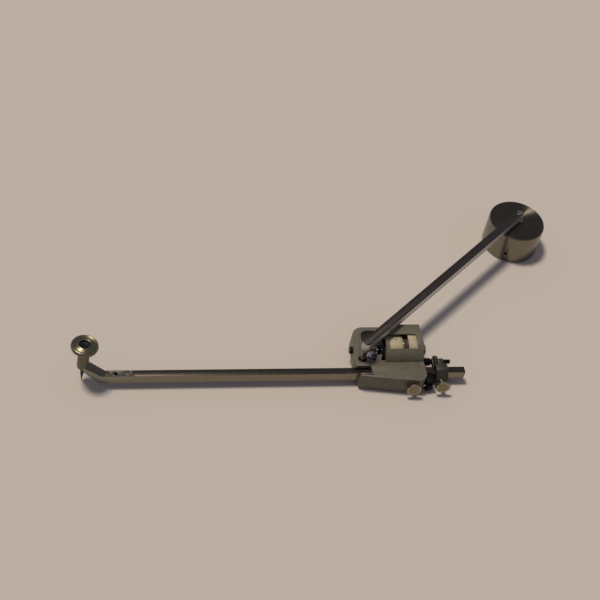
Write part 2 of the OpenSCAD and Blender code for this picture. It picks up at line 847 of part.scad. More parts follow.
function bracket_screw_places() = [shank_x + 3.9, shank_x + shank_l - 2.9];
function lap_height() = bar_mid - 0.5;

module end_bracket() {
    shank_y = tracer_offset + bar_y;
    front = shank_y - bar_w / 2;
    back = shank_y + bar_w / 2;
    lap_z = lap_height() + seat_gap;
    post_top = grip_top - grip_h;
    spigot_d = grip_bore - 2 * run_gap;
    neck_slant = 2.4;
    neck_h = 2.2;
    neck_edge = 0.2;
    foot_h = 0.6;
    shank_end = shank_x + shank_l - seat_gap;
    lap_end = shank_x + tongue_gap - seat_gap;
    color("#7d7f74") at_tracer() difference() {
        union() {
            translate([0, 0, post_z]) cylinder(d = post_d, h = post_top - post_z);
            translate([0, 0, post_top - over]) cylinder(d = spigot_d, h = spigot_h + over);
            translate([0, 0, post_z - foot_h]) cylinder(d1 = post_d - 1.6, d2 = post_d, h = foot_h);
            translate([0, 0, lap_z]) linear_extrude(bar_top - lap_z)
                polygon([[shank_x, front], [shank_end, front], [shank_end, back],
                         [shank_x + neck_slant, back]]);
            translate([0, 0, bar_z]) linear_extrude(bar_h)
                polygon([[shank_x, front], [lap_end, front], [lap_end, back],
                         [shank_x + neck_slant, back]]);
            // the sloping neck between the post and the shank
            hull() {
                translate([0, 0, bar_z]) linear_extrude(bar_h)
                    polygon([[shank_x, front], [shank_x + neck_edge, front],
                             [shank_x + neck_slant, back],
                             [shank_x + neck_slant - neck_edge, back]]);
                translate([0, 0, post_z]) cylinder(d = post_d - neck_edge, h = neck_h, $fn = 48);
            }
        }
        cylinder(d = tracing_d + 2 * run_gap, h = grip_top);
        translate([0, 0, post_z + spring_seat]) cylinder(d = spring_room_d, h = grip_top);
        for (x = bracket_screw_places())
            translate([x, shank_y, 0]) {
                translate([0, 0, bar_mid - over])
                    cylinder(d = small_screw_d + 2 * seat_gap, h = bar_h);
                translate([0, 0, bar_top - bracket_screw_h])
                    cylinder(d = bracket_screw_d + 2 * seat_gap, h = far);
            }
        // the empty screw hole between the two screws
        translate([shank_x + empty_hole_x, shank_y, bar_mid - over])
            cylinder(d = empty_hole_d, h = bar_h);
    }
}

module bracket_screws() {
    shank_y = tracer_offset + bar_y;
    slot_w = 0.5;
    slot_h = 0.4;
    color("#6d6a60") at_tracer() for (x = bracket_screw_places())
        translate([x, shank_y, 0]) difference() {
            union() {
                translate([0, 0, bar_z + 0.3]) cylinder(d = small_screw_d, h = bar_h - over);
                translate([0, 0, bar_top - bracket_screw_h + run_gap])
                    cylinder(d = bracket_screw_d, h = bracket_screw_h);
            }
            block_between([-slot_w / 2, -bracket_screw_d, bar_top - slot_h],
                          [slot_w / 2, bracket_screw_d, bar_top + over]);
        }
}

module grip_ring() {
    r = grip_d / 2;
    b = grip_bore / 2;
    top = grip_top;
    z0 = top - grip_h + 0.05;
    color("#8b8878") at_tracer() rotate_extrude($fn = 128)
        polygon([[b, z0], [r - 2.6, z0], [r - 0.9, z0 + 0.5], [r - 0.2, z0 + 1.3],
                 [r, z0 + 2], [r - 0.15, top - 1.1], [r - 0.5, top - 0.55], [r - 1, top - 0.3],
                 [r - 1.5, top - 0.5], [r - 1.9, top - 0.9], [r - 2.4, top - 0.8],
                 [b + 0.9, top - 0.25], [b + 0.45, top], [b + 0.1, top - 0.1],
                 [b, top - 0.3]]);
}

module tracing_pin() {
    r = tracing_d / 2;
    point = 6.5;
    tip_r = 0.15;
    color("#2c2b2e") at_tracer() rotate_extrude()
        polygon([[0, 0], [tip_r, 0], [r, point], [r, pin_top], [0, pin_top]]);
}

module pin_button() {
    stem = spring_room_d - 0.2;
    sunk = 0.9;
    cap = grip_top - grip_h + spigot_h + pin_travel + run_gap;
    top = grip_top - sunk;
    color("#151517") at_tracer() {
        translate([0, 0, pin_top]) cylinder(d = stem, h = cap - pin_top + join);
        translate([0, 0, cap]) cylinder(d = grip_bore - 0.3, h = top - cap);
    }
}

// The spring round the tracing pin, as long as it is when the button is pressed
module pin_spring() {
    seat = post_z + spring_seat + run_gap;
    top = pin_top - pin_travel - 2 * run_gap;
    h = top - seat;
    color("silver") at_tracer() translate([0, 0, seat]) difference() {
        cylinder(d = spring_room_d - 0.3, h = h);
        translate([0, 0, -over]) cylinder(d = tracing_d + 0.5, h = h + 2 * over);
    }
}

// ----------------------------------------------------- fine adjustment

module fine_block() {
    top = 11.7;
    low = 2.8;
    slope = 4.5;
    front = bar_front - block_front;
    flat = front + slope;
    back = bar_back + 0.7;
    right = block_x + block_w;
    eye_d = 3.7;
    web = 1.4;
    slot_x = fine_nut_x() - join;
    shoe_x = fine_thumb_x();
    color("#4a4949") at_carriage() difference() {
        union() {
            profile_x(block_x, block_w)
                polygon([[front, low], [front, top - slope], [flat, top], [back, top],
                         [back, low]]);
            rod_x(eye_d, block_x, block_w, screw_y, screw_z);
            block_between([block_x, back - join, screw_z - web], [right, screw_y, screw_z + web]);
        }
        block_between([block_x - over, bar_front - bar_gap, bar_z - bar_gap],
                      [right + over, bar_back + bar_gap, bar_top + bar_gap]);
        block_between([shoe_x - fine_shoe_l / 2 - run_gap, bar_front - 1.4, shoe_low() - run_gap],
                      [shoe_x + fine_shoe_l / 2 + run_gap, bar_front, shoe_high() + run_gap]);
        rod_x(screw_d + 2 * run_gap, block_x - over, block_w + 2 * over, screw_y, screw_z);
        block_between([slot_x, screw_y - nut_d / 2 - 0.3, 0], [slot_x + nut_w + 2 * join, far, far]);
        rod_y(stem_d + 2 * run_gap, pocket_front + over, far, shoe_x, bar_mid);
    }
}

function fine_nut_x() = block_x + 1.2;
function fine_thumb_x() = block_x + block_w / 2 - 0.6;

module fine_clamp_shoe() {
    color("#b89b55") at_carriage() shoe(fine_thumb_x(), fine_shoe_l, 0.9, fine_shoe_tip());
}

module fine_thumb_screw() {
    color("#cbbf9c") at_carriage() thumb_screw(fine_thumb_x(), fine_shoe_tip(), fine_face);
}

module adjusting_screw() {
    start = frame_right - collar_depth;
    collar_end = block_x - 0.9;
    end = 52.9;
    color("#242426") at_carriage() {
        rod_x(screw_collar_d, start, collar_end - start, screw_y, screw_z);
        rod_x(screw_d, collar_end - join, end - collar_end + join, screw_y, screw_z);
    }
}

module adjusting_nut() {
    r = nut_d / 2;
    depth = 0.18;
    bite = 360 / knurl_count;
    outline = [for (i = [0:knurl_count - 1], p = [0, 1])
        let (a = (i + p / 2) * bite, d = r - depth * p) [d * cos(a), d * sin(a)]];
    color("#5b584d") at_carriage() translate([fine_nut_x(), screw_y, screw_z]) rotate([90, 0, 90])
        difference() {
            linear_extrude(nut_w) polygon(outline);
            translate([0, 0, -over]) cylinder(d = screw_d + 2 * run_gap, h = nut_w + 2 * over);
        }
}

pole_weight();
pivot_set_screw();
pivot_spacer();
pivot_pin();
pole_arm();
ball_pin();
ball_pin_nut();
carriage_frame();
ball_socket();
drum_hood();
hood_screws();
drum_vernier();
left_bearing_screw();
left_lock_nut();
right_bearing_screw();
measuring_wheel();
wheel_shaft();
shaft_worm();
graduated_drum();
drum_collar();
dial_spindle();
counting_gear();
counting_dial();
roller_bracket();
roller_axle();
support_roller();
bar_vernier();
clamp_shoe();
clamp_thumb_screw();
tracer_bar();
end_bracket();
bracket_screws();
grip_ring();
tracing_pin();
pin_button();
pin_spring();
fine_block();
fine_clamp_shoe();
fine_thumb_screw();
adjusting_screw();
adjusting_nut();
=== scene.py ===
"""Polar planimeter: the looks of the jointed instrument, its floor, its light and its camera.

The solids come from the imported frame. Each visible one is dressed: its edges are softened, its
finish is given, and its scales, numerals and turned details are added.
"""

import json
import math

import bpy
from mathutils import Matrix, Vector


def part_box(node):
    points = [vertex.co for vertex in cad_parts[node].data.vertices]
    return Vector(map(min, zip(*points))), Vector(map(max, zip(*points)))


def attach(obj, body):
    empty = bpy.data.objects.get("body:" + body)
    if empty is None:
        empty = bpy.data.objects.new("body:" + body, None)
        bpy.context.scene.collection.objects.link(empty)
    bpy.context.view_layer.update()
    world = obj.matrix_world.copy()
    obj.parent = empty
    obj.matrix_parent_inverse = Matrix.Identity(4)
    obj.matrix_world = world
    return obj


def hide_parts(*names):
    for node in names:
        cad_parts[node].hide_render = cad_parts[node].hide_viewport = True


bl_info = {
    "name": "Polar planimeter",
    "version": (1, 0, 0),
    "blender": (4, 5, 0),
    "location": "View3D > Sidebar > Planimeter",
    "description": "Dresses a jointed polar planimeter and sets up its floor, light and camera",
    "category": "Add Mesh",
}

MM = 0.001
WAVES_PER_UNIT = 20
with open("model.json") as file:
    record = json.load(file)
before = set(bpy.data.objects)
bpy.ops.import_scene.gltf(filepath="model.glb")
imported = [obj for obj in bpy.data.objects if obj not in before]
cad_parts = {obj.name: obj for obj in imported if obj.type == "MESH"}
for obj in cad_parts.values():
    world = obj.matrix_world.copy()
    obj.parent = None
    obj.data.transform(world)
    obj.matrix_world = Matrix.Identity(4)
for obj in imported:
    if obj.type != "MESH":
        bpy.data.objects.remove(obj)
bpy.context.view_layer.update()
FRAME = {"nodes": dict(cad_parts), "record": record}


# ------------------------------------------------------------ the frame


def centre_of(node):
    """The middle of a solid's box, in metres."""
    low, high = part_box(node)
    return (low + high) / 2


BALL_PIN = centre_of("ball_socket")
TRACING_POINT = centre_of("tracing_pin")
WHEEL_AXIS = centre_of("measuring_wheel")
DIAL_AXIS = centre_of("counting_dial")
BAR_LOW, BAR_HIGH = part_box("tracer_bar")


# -------------------------------------------------- what a user changes


class PlanimeterSizes(bpy.types.PropertyGroup):
    edge: bpy.props.FloatProperty(
        name="Edge radius", description="Rounding of the castings' edges", default=0.22 * MM, unit="LENGTH")
    fine_edge: bpy.props.FloatProperty(
        name="Fine edge", description="Rounding of screws and other small pieces", default=0.07 * MM,
        unit="LENGTH")
    mark_width: bpy.props.FloatProperty(
        name="Mark width", description="Width of the engraved scale lines", default=0.1 * MM, unit="LENGTH")
    mark_height: bpy.props.FloatProperty(
        name="Mark height", description="How far scale lines and numerals stand off their face",
        default=0.02 * MM, unit="LENGTH")
    numeral: bpy.props.FloatProperty(
        name="Numeral height", description="Height of the bar scale's numerals", default=1.35 * MM,
        unit="LENGTH")
    drum_numeral: bpy.props.FloatProperty(
        name="Drum numeral", description="Height of the drum's numerals", default=1.7 * MM, unit="LENGTH")


class PlanimeterColours(bpy.types.PropertyGroup):
    enamel: bpy.props.StringProperty(
        name="Enamel", description="Colour of the carriage and its hood, as sRGB hex", default="#655f4f")
    bronze: bpy.props.StringProperty(
        name="Browned steel", description="Lighter tone of the tracer bar, as sRGB hex", default="#5e564a")
    ivory: bpy.props.StringProperty(
        name="Ivory", description="Colour of the drum and its vernier, as sRGB hex", default="#b9ac8c")
    paper: bpy.props.StringProperty(
        name="Floor", description="Colour of the floor, as sRGB hex", default="#c1b7aa")


# ------------------------------------------------------------ materials


def linear(code):
    """An sRGB hex value as linear red, green, blue and a full alpha."""
    parts = [int(code[i:i + 2], 16) / 255 for i in (1, 3, 5)]
    return (*[c / 12.92 if c <= 0.04045 else ((c + 0.055) / 1.055) ** 2.4 for c in parts], 1.0)


def add_node(tree, kind, inputs, **settings):
    """A shader node with its settings, its values and its links."""
    node = tree.nodes.new(kind)
    for name, value in settings.items():
        setattr(node, name, value)
    for socket, value in inputs.items():
        if isinstance(value, bpy.types.NodeSocket):
            tree.links.new(value, node.inputs[socket])
        else:
            node.inputs[socket].default_value = value
    return node


def new_material(name, **values):
    """A material with a Principled shader whose sockets hold the given values."""
    material = bpy.data.materials.new(name)
    material.use_nodes = True
    shader = material.node_tree.nodes["Principled BSDF"]
    for socket, value in values.items():
        shader.inputs[socket.replace("_", " ")].default_value = value
    return material, material.node_tree, shader


def grain(tree, size, detail=4.0, stretch=(1, 1, 1)):
    """A noise whose lumps are `size` metres across, stretched along an axis where stretch is small."""
    place = add_node(tree, "ShaderNodeTexCoord", {}).outputs["Object"]
    place = add_node(tree, "ShaderNodeMapping", {"Vector": place, "Scale": stretch}).outputs["Vector"]
    noise = add_node(tree, "ShaderNodeTexNoise", {"Vector": place, "Scale": 1 / size, "Detail": detail})
    return noise.outputs["Fac"]


def tone(tree, factor, dark, light, low=0.3, high=0.7):
    """Turns a factor into a colour between two hex values."""
    ramp = add_node(tree, "ShaderNodeValToRGB", {"Fac": factor})
    first, last = ramp.color_ramp.elements
    first.position, first.color = low, linear(dark)
    last.position, last.color = high, linear(light)
    return ramp.outputs["Color"]


def spread(tree, factor, low, high):
    """Turns a factor of about 0.3 to 0.7 into a value between low and high."""
    inputs = {"Value": factor, "From Min": 0.3, "From Max": 0.7, "To Min": low, "To Max": high}
    return add_node(tree, "ShaderNodeMapRange", inputs).outputs["Result"]


def bump(tree, factor, depth, strength=1.0):
    """A surface relief of the given depth in metres."""
    inputs = {"Height": factor, "Distance": depth, "Strength": strength}
    return add_node(tree, "ShaderNodeBump", inputs).outputs["Normal"]


def hammered_enamel(code):
    """Olive-grey hammered enamel, sprayed on a casting: small soft dimples and a satin shine."""
    material, tree, shader = new_material("hammered_enamel", Roughness=0.42, IOR=1.5)
    dimples = grain(tree, 0.55 * MM, detail=2.0)
    blotches = grain(tree, 4 * MM, detail=3.0)
    tree.links.new(tone(tree, blotches, "#5a5545", code), shader.inputs["Base Color"])
    tree.links.new(bump(tree, dimples, 0.03 * MM, 0.35), shader.inputs["Normal"])
    return material


def browned_steel(name, dark, light, roughness, stretch=(0.05, 1, 1)):
    """Chemically browned steel, drawn and finely brushed along its length, which the grain shows."""
    material, tree, shader = new_material(name, Metallic=1.0)
    lines = grain(tree, 0.12 * MM, detail=5.0, stretch=stretch)
    tree.links.new(tone(tree, lines, dark, light, 0.35, 0.65), shader.inputs["Base Color"])
    tree.links.new(spread(tree, lines, roughness - 0.06, roughness + 0.06), shader.inputs["Roughness"])
    tree.links.new(bump(tree, lines, 0.004 * MM, 0.4), shader.inputs["Normal"])
    return material


def turned_steel(name, dark, light, roughness, pitch=0.16 * MM, anisotropy=0.7):
    """Steel turned on a lathe: fine rings round the vertical axis, and a highlight drawn out across them."""
    material, tree, shader = new_material(
        name, Metallic=1.0, Roughness=roughness, Anisotropic=anisotropy, Anisotropic_Rotation=0.25)
    place = add_node(tree, "ShaderNodeTexCoord", {}).outputs["Object"]
    rings = add_node(
        tree, "ShaderNodeTexWave",
        {"Vector": place, "Scale": 1 / pitch / WAVES_PER_UNIT, "Distortion": 0.4, "Detail": 2.0},
        wave_type="RINGS", rings_direction="Z").outputs["Fac"]
    round_z = add_node(tree, "ShaderNodeTangent", {}, direction_type="RADIAL", axis="Z")
    tree.links.new(tone(tree, rings, dark, light, 0.0, 1.0), shader.inputs["Base Color"])
    tree.links.new(bump(tree, rings, 0.003 * MM, 0.3), shader.inputs["Normal"])
    tree.links.new(round_z.outputs["Tangent"], shader.inputs["Tangent"])
    return material


def polished_steel(name, code, roughness=0.16):
    """Bare steel or nickel silver, polished, with faint smears that break up its reflections."""
    material, tree, shader = new_material(name, Metallic=1.0, Base_Color=linear(code))
    smears = grain(tree, 1.6 * MM, detail=3.0)
    tree.links.new(spread(tree, smears, roughness - 0.04, roughness + 0.06), shader.inputs["Roughness"])
    return material


def blackened_steel(name="blackened_steel", code="#212022", roughness=0.38):
    """Oil-blackened steel: a near-black skin with a dull metal shine."""
    material, tree, shader = new_material(name, Metallic=0.85)
    spots = grain(tree, 0.4 * MM, detail=4.0)
    tree.links.new(tone(tree, spots, "#131214", code), shader.inputs["Base Color"])
    tree.links.new(spread(tree, spots, roughness, roughness + 0.12), shader.inputs["Roughness"])
    return material


def grey_casting(name, dark, light, roughness=0.4):
    """Grey nickel-plated casting with a satin face: fine even grain, and soft reflections."""
    material, tree, shader = new_material(name, Metallic=0.9)
    speck = grain(tree, 0.3 * MM, detail=5.0)
    tree.links.new(tone(tree, speck, dark, light), shader.inputs["Base Color"])
    tree.links.new(spread(tree, speck, roughness - 0.05, roughness + 0.08), shader.inputs["Roughness"])
    tree.links.new(bump(tree, speck, 0.006 * MM, 0.4), shader.inputs["Normal"])
    return material


def frosted_silver(name, code="#8f9095"):
    """Silvered brass with a frosted face: granular, with little sparkle."""
    material, tree, shader = new_material(name, Metallic=0.8)
    frost = grain(tree, 0.22 * MM, detail=6.0)
    tree.links.new(tone(tree, frost, "#66666a", code), shader.inputs["Base Color"])
    tree.links.new(spread(tree, frost, 0.4, 0.6), shader.inputs["Roughness"])
    tree.links.new(bump(tree, frost, 0.01 * MM, 0.5), shader.inputs["Normal"])
    return material


def ivory_celluloid(code):
    """Ivory-coloured celluloid, turned and polished: warm cream with faint clouding."""
    material, tree, shader = new_material("ivory_celluloid", Roughness=0.32, IOR=1.5)
    clouds = grain(tree, 1.5 * MM, detail=3.0)
    tree.links.new(tone(tree, clouds, "#ab9d7b", code), shader.inputs["Base Color"])
    return material


def black_ink():
    """Black filling of engraved lines and numerals: flat, without shine."""
    return new_material("black_ink", Base_Color=linear("#17150f"), Roughness=0.7)[0]


def plain_brass():
    """Machined brass with a light tarnish."""
    material, tree, shader = new_material("machined_brass", Metallic=1.0)
    tarnish = grain(tree, 0.8 * MM, detail=4.0)
    tree.links.new(tone(tree, tarnish, "#4c3d20", "#6e5832"), shader.inputs["Base Color"])
    tree.links.new(spread(tree, tarnish, 0.22, 0.36), shader.inputs["Roughness"])
    return material


def black_plastic():
    """Moulded black phenolic with a soft shine."""
    return new_material(
        "black_phenolic", Base_Color=linear("#080809"), Roughness=0.5, Specular_IOR_Level=0.2)[0]


def pale_paper(code):
    """Matt drawing paper without lines, the plain floor."""
    return new_material("pale_paper", Base_Color=linear(code), Roughness=0.9)[0]


MATERIALS = {}


def make_materials(colours):
    """Every finish of the object, by the name of the record's material slot."""
    enamel = hammered_enamel(colours.enamel)
    ivory = ivory_celluloid(colours.ivory)
    black = blackened_steel()
    MATERIALS.update({
        "weight_steel": turned_steel("turned_steel", "#4f493f", "#6a6252", 0.38, anisotropy=1.0),
        # weight_side is a brighter copy of the weight's turned steel: painted light on its side, against the
        # darker top.
        "weight_side": turned_steel("painted_lit_side_turned_steel", "#7a7466", "#948d7e", 0.24, anisotropy=0.6),
        "shaft_steel": polished_steel("ground_steel", "#b3b1ac", 0.22),
        "dark_screw": black,
        "pivot_steel": polished_steel("polished_pivot_steel", "#a39c8c"),
        "arm_bronze": browned_steel("browned_arm_steel", "#433d38", "#625b54", 0.36),
        # arm_side is far brighter than the arm's top: painted reflection on the arm's sides.
        "arm_side": polished_steel("painted_reflection_arm_side", "#c6c6c4", 0.4),
        "pin_steel": polished_steel("polished_pin_steel", "#8f867c"),
        "frame_paint": enamel,
        "socket_black": black,
        "bearing_paint": enamel,
        "scale_ivory": ivory,
        "wheel_black": blackened_steel("hardened_wheel_steel", "#2c2c38", 0.16),
        "worm_brass": plain_brass(),
        "collar_steel": polished_steel("browned_collar_steel", "#7a6a5a", 0.22),
        "dial_silver": frosted_silver("frosted_dial_silver"),
        "roller_black": black,
        "vernier_silver": frosted_silver("frosted_plate_silver", "#77725f"),
        "thumb_steel": grey_casting("nickel_silver_face", "#6f664f", "#a2967a", 0.36),
        "thumb_rim": polished_steel("nickel_silver_rim", "#a89f86", 0.24),
        "bar_bronze": browned_steel("browned_bar_steel", "#3c362e", colours.bronze, 0.34),
        # bar_side is a lighter copy of the bar's browned steel for its front and back faces: painted light.
        "bar_side": browned_steel("painted_lit_bar_side", "#7f7668", "#9d9384", 0.36),
        "bracket_grey": grey_casting("grey_bracket_casting", "#635f50", "#7b7664", 0.38),
        # bracket_side is a lighter copy of the bracket's grey for the front and back of its plate: painted
        # light.
        "bracket_side": grey_casting("painted_lit_bracket_side", "#87857a", "#a19e93", 0.4),
        "grip_olive": turned_steel("turned_grip_metal", "#5f5b48", "#857f68", 0.36, anisotropy=0.5),
        "tracing_steel": polished_steel("blued_tracing_steel", "#33353f", 0.2),
        "button_black": black_plastic(),
        "spring_steel": polished_steel("spring_steel", "#9a9a98", 0.25),
        "block_grey": grey_casting("dark_block_casting", "#453f38", "#645c50", 0.42),
        "nut_olive": grey_casting("olive_knurled_metal", "#403d32", "#5a5645", 0.35),
        "ink": black_ink(),
        "floor": pale_paper(colours.paper),
    })


# ------------------------------------------------------- modelling tools


def select_only(*pieces):
    """Selects these objects alone, and makes the last one active."""
    if bpy.context.object and bpy.context.object.mode != "OBJECT":
        bpy.ops.object.mode_set(mode="OBJECT")
    bpy.ops.object.select_all(action="DESELECT")
    for piece in pieces:
        piece.select_set(True)
    bpy.context.view_layer.objects.active = pieces[-1] if pieces else None


def start_edit(piece):
    """Opens a piece in edit mode with everything selected."""
    select_only(piece)
    bpy.ops.object.mode_set(mode="EDIT")
    bpy.ops.mesh.select_all(action="SELECT")


def end_edit(merge=1e-7):
    """Merges doubles, turns the faces outwards and leaves edit mode."""
    bpy.ops.mesh.select_all(action="SELECT")
    bpy.ops.mesh.remove_doubles(threshold=merge)
    bpy.ops.mesh.normals_make_consistent(inside=False)
    bpy.ops.object.mode_set(mode="OBJECT")


def apply_modifier(piece, kind, **settings):
    """Adds a modifier with its settings and applies it."""
    select_only(piece)
    bpy.ops.object.modifier_add(type=kind)
    modifier = piece.modifiers[-1]
    for name, value in settings.items():
        setattr(modifier, name, value)
    bpy.ops.object.modifier_apply(modifier=modifier.name)


def soften(piece, width, segments=2, angle=32):
    """Rounds a piece's sharp edges."""
    apply_modifier(
        piece, "BEVEL", width=width, segments=segments, limit_method="ANGLE", angle_limit=math.radians(angle),
        use_clamp_overlap=False, miter_outer="MITER_ARC")


def put(piece, place, turn=None):
    """Turns a piece and moves it to its place, in its mesh."""
    piece.matrix_world = Matrix.Translation(place) @ (turn or Matrix.Identity(4))
    select_only(piece)
    bpy.ops.object.transform_apply(location=True, rotation=True, scale=True)
    return piece


def copied(node, name):
    """A piece with a solid's own shape, merged and with its flat faces whole."""
    piece = bpy.data.objects.new(name, FRAME["nodes"][node].data.copy())
    bpy.context.scene.collection.objects.link(piece)
    piece.data.materials.clear()
    start_edit(piece)
    bpy.ops.mesh.remove_doubles(threshold=1e-6)
    bpy.ops.mesh.dissolve_limited(angle_limit=math.radians(0.6))
    bpy.ops.object.mode_set(mode="OBJECT")
    return piece


def turned(name, outline, steps=96):
    """Spins an outline of (radius, height) points, in metres, round the Z axis."""
    select_only()
    bpy.ops.mesh.primitive_plane_add(size=MM, location=(0, 0, 0))
    piece = bpy.context.object
    piece.name = name
    start_edit(piece)
    bpy.ops.mesh.merge(type="CENTER")
    bpy.ops.transform.translate(value=(outline[0][0], 0, outline[0][1]))
    for (r, h), (next_r, next_h) in zip(outline, outline[1:]):
        bpy.ops.mesh.extrude_region_move(TRANSFORM_OT_translate={"value": (next_r - r, 0, next_h - h)})
    bpy.ops.mesh.select_all(action="SELECT")
    bpy.ops.mesh.spin(steps=steps, angle=math.tau, center=(0, 0, 0), axis=(0, 0, 1))
    end_edit()
    return piece


def block(name, low, high):
    """A box between two corners."""
    size = Vector(high) - Vector(low)
    select_only()
    bpy.ops.mesh.primitive_cube_add(size=1, location=(Vector(low) + Vector(high)) / 2, scale=size)
    bpy.ops.object.transform_apply(location=True, rotation=True, scale=True)
    piece = bpy.context.object
    piece.name = name
    return piece


def numeral(text, height, thickness):
    """A numeral as a flat solid, centred on the origin and upright along +Y."""
    select_only()
    bpy.ops.object.text_add(location=(0, 0, 0))
    letters = bpy.context.object
    letters.data.body = text
    letters.data.size = height / 0.72
    letters.data.extrude = thickness / 2
    letters.data.resolution_u = 3
    letters.data.align_x = "CENTER"
    letters.data.align_y = "CENTER"
    bpy.ops.object.convert(target="MESH")
    return bpy.context.object


def joined(name, pieces):
    """Several meshes as one piece."""
    select_only(*pieces)
    bpy.ops.object.join()
    piece = bpy.context.object
    piece.name = name
    return piece


def finish_piece(piece, body, slot, nodes=(), finish=None, angle=35):
    """Smooths a piece, gives it one finish if it has none, and fixes it to the body it moves with."""
    select_only(piece)
    bpy.ops.object.shade_smooth_by_angle(angle=math.radians(angle))
    if not any(used in piece.data.materials.values() for used in MATERIALS.values()):
        piece.data.materials.clear()
        piece.data.materials.append(MATERIALS[finish or slot])
    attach(piece, body)
    if nodes:
        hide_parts(*nodes)
    return piece


SLOT_OF = {row["node"]: row["material_slot"] for row in FRAME["record"]["subparts"]}
BODY_OF = {node: body for body, nodes in FRAME["record"]["behaviour"]["bodies"].items() for node in nodes}


def dress(node, name, width, segments=2, angle=32):
    """Stands a softened copy in for a solid."""
    piece = copied(node, name)
    soften(piece, width, segments, angle)
    return finish_piece(piece, BODY_OF[node], SLOT_OF[node], [node])


def paint_faces(piece, finishes, choose):
    """Gives a piece several finishes; choose(face) says which one a face has."""
    piece.data.materials.clear()
    for slot in finishes:
        piece.data.materials.append(MATERIALS[slot])
    for face in piece.data.polygons:
        face.material_index = choose(face)


# ------------------------------------------------------------ operators


class PlanimeterOperator(bpy.types.Operator):
    bl_options = {"REGISTER", "UNDO"}

    @property
    def sizes(self):
        return bpy.context.scene.planimeter_sizes

    def two_tone(self, node, name, width, dark, painted_lit, start):
        """Stands a softened copy in for a solid, its front and back faces beyond x = start given a brighter
        copy of its finish: painted light.
        """
        def is_rubbed(face):
            return int(abs(face.normal.y) > 0.8 and face.center.x > start)

        piece = copied(node, name)
        soften(piece, width)
        # Front and back faces beyond start take the brighter finish: painted light.
        paint_faces(piece, [dark, painted_lit], is_rubbed)
        return finish_piece(piece, BODY_OF[node], SLOT_OF[node], [node])


class PLANIMETER_OT_finishes(PlanimeterOperator):
    """Makes the materials and gives them to the solids that stay visible."""

    bl_idname = "planimeter.finishes"
    bl_label = "Finishes"

    def execute(self, context):
        make_materials(context.scene.planimeter_colours)
        for node, solid in FRAME["nodes"].items():
            solid.data.materials.clear()
            solid.data.materials.append(MATERIALS[SLOT_OF[node]])
        return {"FINISHED"}


class PLANIMETER_OT_pole_weight(PlanimeterOperator):
    """Dresses the weight, with its lathe rings and its set-screw hole, and dresses the pivot."""

    bl_idname = "planimeter.pole_weight"
    bl_label = "Pole weight"

    def execute(self, context):
        self.weight()
        dress("pivot_spacer", "spacer", self.sizes.fine_edge)
        dress("pivot_pin", "pivot", self.sizes.fine_edge)
        dress("pivot_set_screw", "set_screw", self.sizes.fine_edge)
        return {"FINISHED"}

    def weight(self):
        """Rounds the weight's edges; its top is darkened with painted shade and its turned side brightened
        with painted light, as two copies of one steel.
        """
        weight = copied("pole_weight", "weight")
        soften(weight, 0.25 * MM, 3)
        # Faces that do not face up get the brighter steel: the top's darkness and the side's brightness are
        # painted shade and painted light.
        paint_faces(weight, ["weight_steel", "weight_side"], lambda face: int(face.normal.z < 0.8))
        finish_piece(weight, BODY_OF["pole_weight"], "weight_steel", ["pole_weight"])


class PLANIMETER_OT_pole_arm(PlanimeterOperator):
    """Dresses the pole arm with its ball pin: browned on top, and on its sides a bright polished finish that
    is painted reflection.
    """

    bl_idname = "planimeter.pole_arm"
    bl_label = "Pole arm"

    def execute(self, context):
        arm = copied("pole_arm", "arm")
        soften(arm, 0.2 * MM, 2)
        # Faces that stand upright get the bright finish: painted reflection on the arm's sides.
        paint_faces(arm, ["arm_bronze", "arm_side"], lambda face: int(abs(face.normal.z) < 0.6))
        finish_piece(arm, "pole_arm", "arm_bronze", ["pole_arm"])
        dress("ball_pin", "ball_pin_turned", self.sizes.fine_edge, angle=50)
        dress("ball_pin_nut", "ball_pin_round_nut", self.sizes.fine_edge)
        return {"FINISHED"}


class PLANIMETER_OT_carriage(PlanimeterOperator):
    """Dresses the carriage casting, its socket and its bearing screws."""

    bl_idname = "planimeter.carriage"
    bl_label = "Carriage"

    def execute(self, context):
        dress("carriage_frame", "carriage", self.sizes.edge, 2)
        dress("drum_hood", "hood", self.sizes.edge * 1.4, 3)
        for node in (
                "ball_socket", "left_bearing_screw", "left_lock_nut", "right_bearing_screw", "hood_screws"):
            dress(node, node + "_dressed", self.sizes.fine_edge)
        return {"FINISHED"}


class PLANIMETER_OT_measuring_wheel(PlanimeterOperator):
    """Dresses the measuring wheel, its shaft, its worm and the collar."""

    bl_idname = "planimeter.measuring_wheel"
    bl_label = "Measuring wheel"

    def execute(self, context):
        for node in ("measuring_wheel", "wheel_shaft", "shaft_worm", "drum_collar"):
            dress(node, node + "_dressed", self.sizes.fine_edge)
        return {"FINISHED"}


